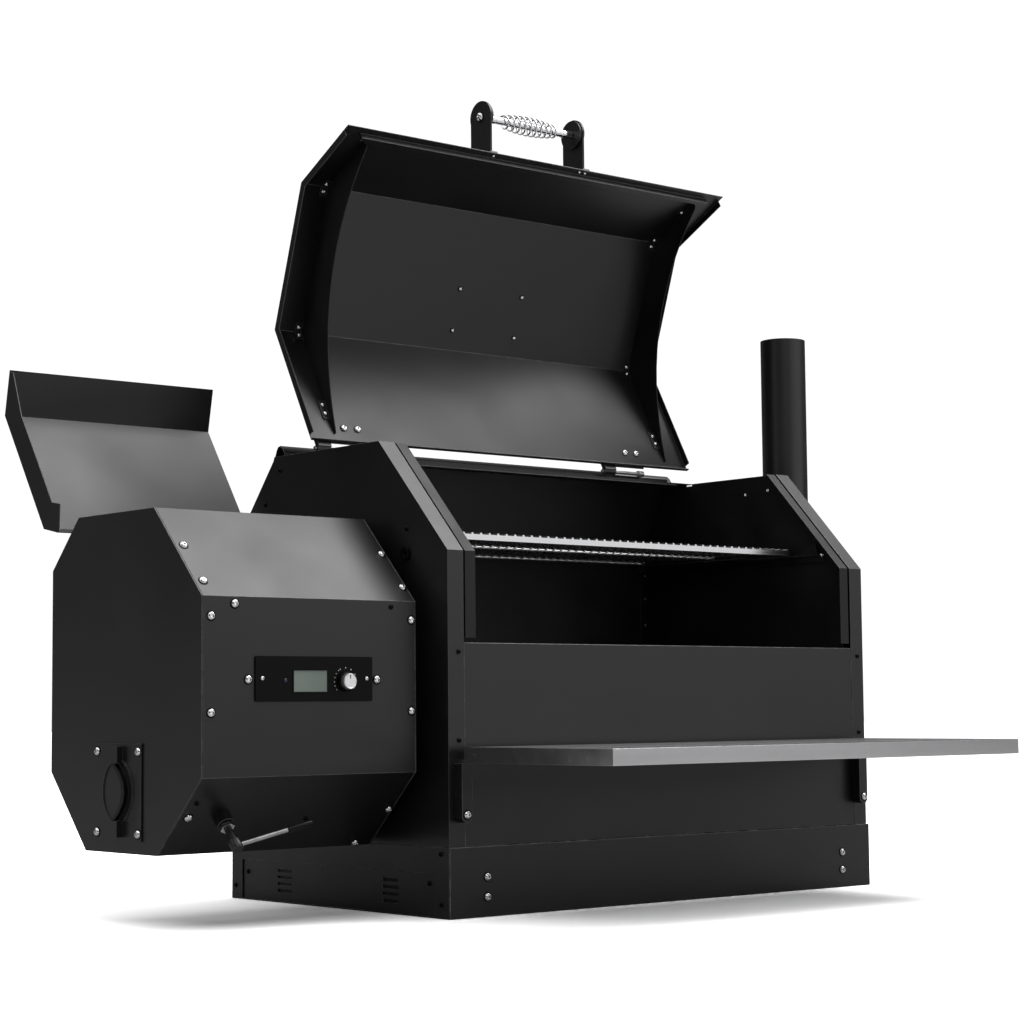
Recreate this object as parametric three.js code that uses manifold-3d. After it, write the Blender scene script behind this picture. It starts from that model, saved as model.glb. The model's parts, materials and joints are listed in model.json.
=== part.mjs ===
// Built-in pellet smoker: a sheet-metal cooking chamber on a plinth, with an octagonal pellet
// hopper on the left, a chimney on the right, a stainless front shelf and a three-facet lid.
// Millimetres. +X is the user's right, +Y is away from the user, +Z is up. Sizes are given from
// the plinth's front left bottom corner; the group is then moved to the middle of the footprint.
import * as THREE from 'three';
import Module from 'manifold-3d';
import { mergeVertices } from 'three/addons/utils/BufferGeometryUtils.js';

const wasm = await Module();
wasm.setup();

// ---- driving dimensions ----------------------------------------------------------------
const CENTRE_X = 323.8;           // the footprint's middle, from the plinth corner
const CENTRE_Y = 138.7;
const GAP = 0.4;                  // air left between pieces that touch
const SHEET = 2;                  // outer panels
const THIN = 1.6;                 // lids, liners and trays

const BASE_W = 940;               // plinth
const BASE_D = 587;
const BASE_H = 106;
const VENT_H = 66;                // slotted panel in the plinth's left side
const VENT_Y = [35, 556];

const BODY_W = 935;               // chamber casing
const FRONT_TOP = 553;            // where the vertical front turns into the slope
const PEAK_Y = 172;
const TOP_Z = 734;
const TOP_BACK_Y = 458;
const BACK_Y = 580;
const BACK_TOP = 590;
const FLANGE = 30.8;              // front flange of each outer wall
const SEAL = [36.4, 55];          // inner wall's sealing strip, from the casing's side
const PANEL_TOP = 413;            // top edge of the front panel
const FLOOR_Z = 130;
const INNER_BACK_Y = 513;
const RAIL_TOP_Z = 741;           // shelf of the rear rail that the hinges stand on
const RAIL_LIP_Z = 730;           // lower step of the rail, covered by the shut lid
const RAIL_STEP_Y = 412;
const RAIL_END_Z = 735;           // ends of the rail, beyond the hinges
const RAIL_END_Y = 400;
const LEDGE_Z = 384;              // ledges that carry the main grates

const LID_X = [32, 903];          // main lid; its skirts drop between flange and strip
const LID_BACK_Y = 396;
const LID_OFF = 4;                // lid's outer face outside the casing's outline
const LID_LIP_Z = 402;
const LID_HINGE = [404.7, 747];   // y, z of the hinge axis
const LID_OPEN = 118.2;           // degrees the lid stands open at rest
const SKIRT_DEEP = 13;
const LIP_CLEAR_Z = 415;          // lowest point of whatever passes behind the shut lip
const CRESCENT_X = [85, 850];     // left faces of the lid's end panels
const BADGE_X = [389, 573];
const HANDLE_X = 445;             // lid handle, measured with the lid shut
const HANDLE_HALF = 107;
const HANDLE_ROD = [-76, 395];    // y, z of its rod
const HANDLE_LEAN = 28.2;         // degrees the brackets droop, so that they stand up on the open lid

const SHELF_X = [13, 915];        // front shelf
const SHELF_Y = [-349, -20];
const SHELF_TOP = 256;
const SHELF_DEEP = 24;
const BRACKET_DEEP = 19;          // channel brackets stand the shelf off the casing
const BRACKET_W = 20;
const BRACKET_X = [20, 908];
const BRACKET_Z = [143, 231.6];

const HOP_X = [-407, -27];        // hopper casing, an octagon with uneven bevels
const HOP_FRONT = 44;
const HOP_BACK = 470;
const HOP_TOP = 609;
const HOP_BOTTOM = 106.5;
const HOP_PROFILE = {             // y, z corners named by the edge they end
  topFront: [173, HOP_TOP],
  topBack: [391, HOP_TOP],
  backHigh: [HOP_BACK, 531],
  backLow: [HOP_BACK, 222],
  bottomBack: [363.6, HOP_BOTTOM],
  bottomFront: [160.8, HOP_BOTTOM],
  frontLow: [HOP_FRONT, 219],
  frontHigh: [HOP_FRONT, 475.5],
};
const HOP_LID_Z = 612;            // hopper lid, shut
const HOP_LID_BACK_Y = 404;
const HOP_LID_LIP = 74;
const HOP_LID_TAIL = 44;
const HOP_HINGE = [446, 581];
const HOP_OPEN = 124.4;

const AUGER_Y = 267;
const AUGER_Z = 176;
const POT_X = 467;
const CHIMNEY_X = 1025;
const CHIMNEY_Y = 262;
const CHIMNEY_R = 42;
const CHIMNEY_TOP = 1002;
const ELBOW_Z = 340;              // height of the exhaust port in the right wall
const ELBOW_BEND = 70;
const UPPER_GRATE = { x: [56, 879], y: [120, 500], z: 581 };

// ---- materials -------------------------------------------------------------------------
const finish = (color, roughness, metalness) => ({ color, roughness, metalness });
const BLACK = finish(0x1b1b1b, 0.5, 0.3);
const SOOT = finish(0x101010, 0.7, 0.2);
const STEEL = finish(0xc4c6c8, 0.3, 1.0);
const CHROME = finish(0xe4e6e8, 0.1, 1.0);
const CAST = finish(0x2a2826, 0.8, 0.4);
const MOTOR = finish(0x6e7276, 0.4, 0.9);
const SCREEN = finish(0x75807c, 0.3, 0.0);
const PLASTIC = finish(0x141414, 0.5, 0.0);

// ---- solid kit -------------------------------------------------------------------------
const solid = (geometry) => {
  const bare = geometry.clone();
  bare.deleteAttribute('normal');
  bare.deleteAttribute('uv');
  const merged = mergeVertices(bare, 1e-4);
  return new wasm.Manifold(new wasm.Mesh({
    numProp: 3,
    vertProperties: new Float32Array(merged.attributes.position.array),
    triVerts: new Uint32Array(merged.index.array),
  }));
};

const plain = (manifold) => {
  const mesh = manifold.getMesh();
  const geometry = new THREE.BufferGeometry();
  geometry.setAttribute('position', new THREE.BufferAttribute(new Float32Array(mesh.vertProperties), 3));
  geometry.setIndex(new THREE.BufferAttribute(new Uint32Array(mesh.triVerts), 1));
  const flat = geometry.toNonIndexed();
  flat.computeVertexNormals();
  return flat;
};

const join = (...parts) => plain(parts.map(solid).reduce((a, b) => a.add(b)));
const cut = (body, ...tools) => plain(tools.map(solid).reduce((a, b) => a.subtract(b), solid(body)));

const block = (x, y, z) => {
  const size = [x, y, z].map(([low, high]) => high - low);
  const middle = [x, y, z].map(([low, high]) => (low + high) / 2);
  return new THREE.BoxGeometry(...size).translate(...middle);
};

const outline = (points) => new THREE.Shape(points.map(([a, b]) => new THREE.Vector2(a, b)));

const prism = (shape, depth, axes, start) => {
  const basis = new THREE.Matrix4().makeBasis(...axes);
  const bar = new THREE.ExtrudeGeometry(shape, { depth, bevelEnabled: false, curveSegments: 16 });
  return bar.applyMatrix4(basis).translate(...start);
};
const X = new THREE.Vector3(1, 0, 0);
const Y = new THREE.Vector3(0, 1, 0);
const Z = new THREE.Vector3(0, 0, 1);
// A profile in y, z swept along x, and a profile in x, z swept along y.
const prismX = (points, x0, x1) => prism(outline(points), x1 - x0, [Y, Z, X], [x0, 0, 0]);
const prismY = (shape, y0, y1) => prism(shape, y1 - y0, [X, Z, Y.clone().negate()], [0, y1, 0]);

// A y, z line moved sideways by a distance, to the left of its direction of travel when side is 1.
const offsetLine = (line, distance, side) => {
  const points = line.map(([a, b]) => new THREE.Vector2(a, b));
  const normals = points.slice(1).map((p, i) => {
    const along = p.clone().sub(points[i]).normalize();
    return new THREE.Vector2(-along.y, along.x).multiplyScalar(side);
  });
  return points.map((p, i) => {
    const before = normals[Math.max(i - 1, 0)];
    const after = normals[Math.min(i, normals.length - 1)];
    const mitre = before.clone().add(after).normalize();
    return p.clone().addScaledVector(mitre, distance / mitre.dot(before)).toArray();
  });
};

// Sheet folded along a y, z line: the line is one face and the other face lies to that side.
const foldedSheet = (line, thickness, side, x0, x1) => (
  prismX([...line, ...offsetLine(line, thickness, side).reverse()], x0, x1)
);

const rod = (from, to, radius, sides = 16) => {
  const a = new THREE.Vector3(...from);
  const b = new THREE.Vector3(...to);
  const along = b.clone().sub(a);
  const bar = new THREE.CylinderGeometry(radius, radius, along.length(), sides);
  bar.applyQuaternion(new THREE.Quaternion().setFromUnitVectors(Y, along.clone().normalize()));
  return bar.translate(...a.add(b).multiplyScalar(0.5).toArray());
};

const tube = (from, to, outer, inner, sides = 32) => {
  const a = new THREE.Vector3(...from);
  const b = new THREE.Vector3(...to);
  const along = b.clone().sub(a);
  const long = along.length();
  const wall = [[inner, 0], [outer, 0], [outer, long], [inner, long], [inner, 0]];
  const ring = new THREE.LatheGeometry(wall.map((p) => new THREE.Vector2(...p)), sides);
  ring.applyQuaternion(new THREE.Quaternion().setFromUnitVectors(Y, along.normalize()));
  return ring.translate(...from);
};

// Mirror image of a solid about a plane x = middle.
const mirrorX = (geometry, middle) => {
  const copy = geometry.index ? geometry.toNonIndexed() : geometry.clone();
  copy.scale(-1, 1, 1).translate(2 * middle, 0, 0);
  const p = copy.attributes.position;
  for (let i = 0; i < p.count; i += 3) {
    const [a, b] = [1, 2].map((k) => new THREE.Vector3().fromBufferAttribute(p, i + k));
    p.setXYZ(i + 1, ...b.toArray());
    p.setXYZ(i + 2, ...a.toArray());
  }
  copy.computeVertexNormals();
  return copy;
};

const object = new THREE.Group();
object.position.set(-CENTRE_X, -CENTRE_Y, 0);
const fixed = (name, geometry, look) => {
  const mesh = new THREE.Mesh(geometry, new THREE.MeshStandardMaterial(look));
  mesh.name = name;
  object.add(mesh);
};
const BODY_MID = BODY_W / 2;

// One node for each side, from a maker that takes that side's value.
const SIDES = ['left', 'right'];
const pair = (place, name, values, make, look) => SIDES.forEach((side, i) => {
  place(`${name}_${side}`, make(values[i]), look);
});

// ---- plinth ----------------------------------------------------------------------------
const plinth = () => {
  const side = SHEET + GAP;
  fixed('base_front_panel', join(
    block([0, BASE_W], [-1.5, SHEET - 1.5], [0, BASE_H]),
    block([side, BASE_W - side], [-1.5, 18], [0, SHEET]),
  ), BLACK);

  const slotted = block([0, SHEET], [SHEET - 1.5 + GAP, BASE_D - SHEET - GAP], [0, BASE_H]);
  const opening = block([-1, SHEET + 1], VENT_Y, [SHEET, VENT_H]);
  fixed('base_left_panel', cut(slotted, opening), BLACK);
  fixed('base_right_panel',
    block([BASE_W - SHEET, BASE_W], [SHEET - 1.5 + GAP, BASE_D - SHEET - GAP], [0, BASE_H]), BLACK);
  fixed('base_rear_panel', block([0, BASE_W], [BASE_D - SHEET, BASE_D], [0, BASE_H]), BLACK);
  fixed('base_deck', cut(
    block([side, BASE_W - side], [SHEET, BASE_D - side], [BASE_H - SHEET, BASE_H]),
    block([400, 534], [200, 334], [0, BASE_H + 1]),
  ), BLACK);

  // Slotted vent panel, set back in its opening, with two groups of slots.
  const [y0, y1] = VENT_Y;
  const slots = [];
  for (const middle of [149, 435]) {
    for (let row = 0; row < 4; row += 1) {
      const z = 19.5 + row * 10.8;
      slots.push(block([0, 10], [middle - 20, middle + 20], [z - 2.4, z + 2.4]));
    }
  }
  const plate = block([SHEET + GAP, 2 * SHEET + GAP], [y0 - 8, y1 + 8], [GAP, VENT_H + 8]);
  fixed('base_vent_panel', cut(plate, ...slots), BLACK);
};

// ---- chamber casing --------------------------------------------------------------------
const WALL_PROFILE = [
  [0, BASE_H + GAP],
  [0, FRONT_TOP],
  [PEAK_Y, TOP_Z],
  [TOP_BACK_Y, TOP_Z],
  [BACK_Y, BACK_TOP],
  [BACK_Y, BASE_H + GAP],
];

const casing = () => {
  const flangeLine = [[0, BASE_H + GAP], [0, FRONT_TOP], [PEAK_Y, TOP_Z]];
  const spout = block([-5, 45], [298, 354], [107, 128]);
  const augerHole = rod([-5, AUGER_Y, AUGER_Z], [45, AUGER_Y, AUGER_Z], 25, 24);
  const portHole = rod([-5, 102, 552.5], [5, 102, 552.5], 6, 16);
  const wall = join(
    prismX(WALL_PROFILE, 0, SHEET),
    foldedSheet(flangeLine, SHEET, -1, 0, FLANGE),
  );
  const stack = rod([BODY_W + 5, CHIMNEY_Y, ELBOW_Z], [BODY_W - 45, CHIMNEY_Y, ELBOW_Z], 41, 24);
  fixed('outer_wall_left', cut(wall, spout, augerHole, portHole), BLACK);
  fixed('outer_wall_right', cut(mirrorX(wall, BODY_MID), stack), BLACK);

  // Inner walls: a liner with a sealing strip along the opening's edge, just below the flanges.
  const [s0, s1] = SEAL;
  const step = 1;
  const strip = [[step, PANEL_TOP + 8], [step, FRONT_TOP], [PEAK_Y, TOP_Z - step]];
  const liner = [
    [14, FLOOR_Z + SHEET + GAP],
    [14, PANEL_TOP + 8],
    [step, PANEL_TOP + 8],
    [step, FRONT_TOP],
    [PEAK_Y, TOP_Z - step],
    [LID_BACK_Y - 12, TOP_Z - step],
    [LID_BACK_Y - 12, RAIL_LIP_Z - THIN - GAP],
    [RAIL_END_Y - 1, RAIL_LIP_Z - THIN - GAP],
    [RAIL_END_Y - 1, RAIL_END_Z - THIN - GAP],
    [458, RAIL_END_Z - THIN - GAP],
    [INNER_BACK_Y - GAP, 616],
    [INNER_BACK_Y - GAP, FLOOR_Z + SHEET + GAP],
  ];
  const inner = join(
    prismX(liner, s0 - THIN, s0),
    foldedSheet(strip, THIN, -1, s0 - THIN, s1),
  );
  fixed('inner_wall_left', cut(inner, augerHole), SOOT);
  fixed('inner_wall_right', cut(mirrorX(inner, BODY_MID), stack), SOOT);

  fixed('front_panel', join(
    foldedSheet([[0.5, BASE_H + GAP], [0.5, PANEL_TOP], [12, PANEL_TOP]], SHEET, -1,
      FLANGE + GAP, BODY_W - FLANGE - GAP),
    block([60, BODY_W - 60], [1, 24], [LEDGE_Z - SHEET, LEDGE_Z]),
  ), BLACK);

  const x0 = SHEET + GAP;
  const rearLine = [[BACK_Y - 0.5, BASE_H + GAP], [BACK_Y - 0.5, BACK_TOP - 1], [491, 694]];
  fixed('rear_cover', foldedSheet(rearLine, SHEET, 1, x0, BODY_W - x0), BLACK);

  const backLine = [[INNER_BACK_Y, FLOOR_Z + GAP], [INNER_BACK_Y, 622], [463, 734]];
  fixed('chamber_back_panel', join(
    foldedSheet(backLine, THIN, -1, SHEET + GAP, BODY_W - SHEET - GAP),
    block([60, BODY_W - 60], [486, INNER_BACK_Y + 1], [LEDGE_Z - SHEET, LEDGE_Z]),
  ), SOOT);

  const holes = [];
  for (let i = 0; i < 8; i += 1) {
    const turn = (i / 8) * 2 * Math.PI;
    const at = [POT_X + 35 * Math.cos(turn), AUGER_Y + 35 * Math.sin(turn)];
    holes.push(rod([...at, 120], [...at, 140], 6, 12));
  }
  fixed('chamber_floor', cut(
    block([s0 - THIN, BODY_W - s0 + THIN], [SHEET + 1, INNER_BACK_Y - GAP], [FLOOR_Z, FLOOR_Z + SHEET]),
    ...holes,
  ), SOOT);

  // Rail behind the lid: rises above the bevel in a rounded nose and folds forward. Its middle
  // part carries the hinges and steps down under the lid; its two ends lie lower.
  const shelfBack = [457, RAIL_TOP_Z];
  const nose = [[506, 690], [481, 747], [477, 753], [470, 755], [463, 750], shelfBack];
  const shelf = [
    shelfBack,
    [RAIL_STEP_Y, RAIL_TOP_Z],
    [RAIL_STEP_Y, RAIL_LIP_Z],
    [LID_BACK_Y - 8, RAIL_LIP_Z],
  ];
  const end = [shelfBack, [shelfBack[0], RAIL_END_Z], [RAIL_END_Y, RAIL_END_Z]];
  const [r0, r1, r2] = [18, 73, BODY_W - 73];
  fixed('rear_hinge_rail', join(
    foldedSheet([...nose, shelf[1]], THIN, 1, r1, r2),
    foldedSheet(nose, THIN, 1, r0, BODY_W - r0),
    foldedSheet(shelf, THIN, 1, r1, r2),
    foldedSheet(end, THIN, 1, r0, r1 + THIN),
    foldedSheet(end, THIN, 1, r2 - THIN, BODY_W - r0),
  ), BLACK);
};

// ---- chimney ---------------------------------------------------------------------------
const chimney = () => {
  // Elbow: out from the wall, a quarter turn, then up to the foot of the pipe.
  const face = BODY_W + GAP;
  const turn = CHIMNEY_X - ELBOW_BEND;
  class Bend extends THREE.Curve {
    constructor(over) {
      super();
      this.over = over;
    }

    getPoint(t, target = new THREE.Vector3()) {
      const start = face - this.over;
      const level = turn - start;
      const arc = (ELBOW_BEND * Math.PI) / 2;
      const at = t * (level + arc + ELBOW_RISE + this.over);
      if (at < level) return target.set(start + at, CHIMNEY_Y, ELBOW_Z);
      const angle = Math.min((at - level) / ELBOW_BEND, Math.PI / 2);
      return target.set(
        turn + ELBOW_BEND * Math.sin(angle),
        CHIMNEY_Y,
        ELBOW_Z + ELBOW_BEND * (1 - Math.cos(angle)) + Math.max(at - level - arc, 0),
      );
    }
  }
  const round = (radius, over) => {
    const section = new THREE.Shape();
    section.absarc(0, 0, radius, 0, 2 * Math.PI);
    const extrudePath = new Bend(over);
    const options = { steps: 16, curveSegments: 16, bevelEnabled: false, extrudePath };
    return new THREE.ExtrudeGeometry(section, options);
  };
  const half = 56;
  const flange = [[CHIMNEY_Y - half, CHIMNEY_Y + half], [ELBOW_Z - half, ELBOW_Z + half]];
  const plate = block([face, face + 3], ...flange);
  fixed('exhaust_elbow', cut(join(round(40, 0), plate), round(38, 4)), BLACK);

  const axis = [CHIMNEY_X, CHIMNEY_Y];
  const foot = ELBOW_Z + ELBOW_BEND + ELBOW_RISE + GAP;
  fixed('chimney_pipe', tube([...axis, foot], [...axis, CHIMNEY_TOP], CHIMNEY_R, 39.5, 48), BLACK);
};
const ELBOW_RISE = 5;

// ---- hopper ----------------------------------------------------------------------------
const hopperRing = (names) => names.map((name) => HOP_PROFILE[name]);

const hopper = () => {
  const all = Object.keys(HOP_PROFILE);
  const [h0, h1] = HOP_X;
  fixed('hopper_end_cover', prismX(hopperRing(all), h0, h0 + SHEET), BLACK);

  const spout = block([h1 - 5, 5], [298, 354], [107, 128]);
  const auger = rod([h1 - 5, AUGER_Y, AUGER_Z], [5, AUGER_Y, AUGER_Z], 25, 24);
  fixed('hopper_inner_cover', cut(prismX(hopperRing(all), h1 - SHEET, h1), spout, auger), BLACK);

  const x0 = h0 + SHEET + GAP;
  const x1 = h1 - SHEET - GAP;
  const front = hopperRing(['topFront', 'frontHigh', 'frontLow', 'bottomFront']);
  const shell = foldedSheet(front, SHEET, 1, x0, x1);
  const panelHole = block([-312, -117], [HOP_FRONT - 5, HOP_FRONT + 5], [331, 385]);
  const crankHole = rod(crankAt(-10), crankAt(10), 9.8, 20);
  fixed('hopper_front_shell', cut(shell, panelHole, crankHole), BLACK);

  const rear = hopperRing(['bottomBack', 'backLow', 'backHigh', 'topBack']);
  const foot = [HOP_PROFILE.bottomFront[0] + 3, HOP_BOTTOM];
  fixed('hopper_rear_shell', foldedSheet([foot, ...rear], SHEET, 1, x0, x1), BLACK);

  // Pellet bin: straight at the top, then tapering down to a trough over the auger.
  const ring = (x, y, z) => [[x[0], y[0], z], [x[1], y[0], z], [x[1], y[1], z], [x[0], y[1], z]];
  const loft = (rings) => {
    const geometry = new THREE.BufferGeometry();
    const index = [0, 2, 1, 0, 3, 2];
    const top = (rings.length - 1) * 4;
    index.push(top, top + 1, top + 2, top, top + 2, top + 3);
    for (let level = 0; level < rings.length - 1; level += 1) {
      for (let k = 0; k < 4; k += 1) {
        const a = level * 4 + k;
        const b = level * 4 + ((k + 1) % 4);
        index.push(a, b, b + 4, a, b + 4, a + 4);
      }
    }
    geometry.setAttribute('position', new THREE.Float32BufferAttribute(rings.flat(2), 3));
    geometry.setIndex(index);
    return geometry;
  };
  const top = HOP_TOP - 3;
  const wide = { x: [x0 + 8, x1 - 8], y: [182, 382] };
  const trough = { x: [-300, -80], y: [AUGER_Y - 18, AUGER_Y + 18] };
  const grow = ([low, high], by) => [low - by, high + by];
  const skin = (by, low, high) => loft([
    ring(grow(trough.x, by), grow(trough.y, by), low),
    ring(grow(trough.x, by), grow(trough.y, by), 214),
    ring(grow(wide.x, by), grow(wide.y, by), 430),
    ring(grow(wide.x, by), grow(wide.y, by), high),
  ]);
  const rim = block([x0 + 2, x1 - 2], [176, 388], [top - THIN, top]);
  const mouth = skin(0, 200, top + 5);
  fixed('pellet_bin', cut(join(skin(THIN, 203, top), rim), mouth), MOTOR);

  // Hinge rail on the rear bevel: a step with a barrel at each of its hinge points, and one pin.
  const step = [onBevel(84, GAP), onBevel(62, GAP), onBevel(62, HINGE_OFF - 5)];
  const barrels = HINGE_RAIL_X.map(([a, b]) => join(
    rod([a, ...HOP_HINGE], [b, ...HOP_HINGE], 4.2, 16),
    prismX([onBevel(62, 12), onBevel(60, 12), onBevel(56, HINGE_OFF), onBevel(62, HINGE_OFF)], a, b),
  ));
  const pin = rod([h0 + 24, ...HOP_HINGE], [h1 - 24, ...HOP_HINGE], 2, 16);
  const angle = foldedSheet(step, SHEET, -1, x0 + 20, x1 - 20);
  fixed('hopper_hinge_rail', join(angle, ...barrels, pin), BLACK);
};

// A point on the hopper's rear top bevel: so far down it, and so far off it.
const onBevel = (down, off) => {
  const start = new THREE.Vector2(...HOP_PROFILE.topBack);
  const along = new THREE.Vector2(...HOP_PROFILE.backHigh).sub(start).normalize();
  const out = new THREE.Vector2(-along.y, along.x);
  return start.addScaledVector(along, down).addScaledVector(out, off).toArray();
};
const HINGE_OFF = 18.7;
const HINGE_RAIL_X = [[-340, -300], [-134, -94]];
const HINGE_LID_X = [[-378, -342], [-298, -262], [-172, -136], [-92, -56]];

// ---- control panel ---------------------------------------------------------------------
const PANEL_X = [-318, -110.6];
const PANEL_Z = [325.7, 391];
const PANEL_FACE = HOP_FRONT - GAP - SHEET;
const KNOB_AT = [-160, 354.8];
const controls = () => {
  const corner = 3;
  const [px0, px1] = PANEL_X;
  const [pz0, pz1] = PANEL_Z;
  const face = new THREE.Shape();
  face.moveTo(px0 + corner, pz0);
  face.lineTo(px1 - corner, pz0);
  face.absarc(px1 - corner, pz0 + corner, corner, -Math.PI / 2, 0);
  face.absarc(px1 - corner, pz1 - corner, corner, 0, Math.PI / 2);
  face.absarc(px0 + corner, pz1 - corner, corner, Math.PI / 2, Math.PI);
  face.absarc(px0 + corner, pz0 + corner, corner, Math.PI, 1.5 * Math.PI);
  const plate = prismY(face, PANEL_FACE, PANEL_FACE + SHEET);
  const lcd = { x: [-252.5, -192], z: [339, 371] };
  const hole = block(lcd.x, [PANEL_FACE - 1, PANEL_FACE + 5], lcd.z);
  const spindle = rod([KNOB_AT[0], 30, KNOB_AT[1]], [KNOB_AT[0], 60, KNOB_AT[1]], 4, 16);
  fixed('control_panel_plate', cut(plate, hole, spindle), PLASTIC);
  const inset = ([low, high]) => [low + GAP, high - GAP];
  fixed('display_window',
    block(inset(lcd.x), [PANEL_FACE + 0.4, PANEL_FACE + 6], inset(lcd.z)), SCREEN);

  const [kx, kz] = KNOB_AT;
  const knob = [[0, 0], [14.5, 0], [14.5, 3], [12.5, 4.5], [11.8, 12.5], [11, 13.5], [0, 13.5]];
  const cap = new THREE.LatheGeometry(knob.map((p) => new THREE.Vector2(...p)), 28);
  cap.applyQuaternion(new THREE.Quaternion().setFromUnitVectors(Y, Y.clone().negate()));
  cap.translate(kx, PANEL_FACE - GAP, kz);
  const stem = rod([kx, PANEL_FACE - 1, kz], [kx, HOP_FRONT + 6, kz], 3.5, 16);
  fixed('control_knob', join(cap, stem), CHROME);
};

// ---- lifting grip on the hopper end -------------------------------------------------------
const GRIP = { y: 267, z: 196 };
const grip = () => {
  const face = HOP_X[0] - GAP;
  const { y, z } = GRIP;
  const plate = block([face - 2, face], [y - 66, y + 66], [z - 71, z + 71]);
  const oval = new THREE.Shape();
  oval.absellipse(y, z, 43, 49, 0, 2 * Math.PI);
  const dish = new THREE.Path();
  dish.absellipse(y, z, 39.5, 45.5, 0, 2 * Math.PI);
  oval.holes.push(dish);
  const rim = prism(oval, 2.4, [Y, Z, X], [face - 3.6, 0, 0]);
  const lug = (low, high) => cut(
    block([face - 12, face - 1], [y - 14, y + 12], [low, high]),
    rod([face - 8, y - 1, low - 1], [face - 8, y - 1, high + 1], 3.3, 16),
  );
  fixed('grip_plate', join(plate, rim, lug(z + 42, z + 66), lug(z - 66, z - 42)), BLACK);

  // Bail: a strap bowed towards the front, with a pin at each end in the lugs.
  const bow = [[-41.4, 0], [-30, -14], [-14, -26], [0, -29], [14, -26], [30, -14], [41.4, 0]];
  const strap = (off) => bow.map(([dz, dy]) => [y - 1 + dy + off, z + dz]);
  const outer = strap(-4.5);
  const inner = strap(4.5).reverse();
  const band = prismX([...outer, ...inner], face - 11.5, face - 4.5);
  const pin = (a, b) => rod([face - 8, y - 1, a], [face - 8, y - 1, b], 3, 16);
  fixed('grip_bail', join(band, pin(z + 38, z + 60), pin(z - 60, z - 38)), BLACK);
};

// ---- crank under the front bevel -----------------------------------------------------------
const CRANK_FOOT = new THREE.Vector3(-335, 103, 162.2);
const CRANK_OUT = new THREE.Vector3(0, -0.694, -0.72).normalize();
const CRANK_LIFT = 0.36;           // radians the arm stands above level
const crankAt = (distance) => CRANK_FOOT.clone().addScaledVector(CRANK_OUT, distance).toArray();
const crank = () => {
  fixed('crank_bush', cut(
    join(rod(crankAt(GAP), crankAt(16), 13, 24), rod(crankAt(-6), crankAt(1), 9, 24)),
    rod(crankAt(-8), crankAt(20), 6.6, 20),
  ), BLACK);

  const arm = new THREE.Vector3(1, 0, 0).applyAxisAngle(CRANK_OUT, CRANK_LIFT);
  const hub = new THREE.Vector3(...crankAt(55));
  const reach = (distance) => hub.clone().addScaledVector(arm, distance).toArray();
  fixed('crank_handle', join(
    rod(crankAt(-22), crankAt(62), 6, 20),
    rod(crankAt(18), crankAt(24), 11, 6),
    rod(crankAt(-14), crankAt(-8.5), 24, 24),
    rod(crankAt(47), crankAt(63), 9, 20),
    rod(reach(0), reach(86), 4.6, 16),
    rod(reach(80), reach(118), 3.8, 16),
  ), STEEL);
};

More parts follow.
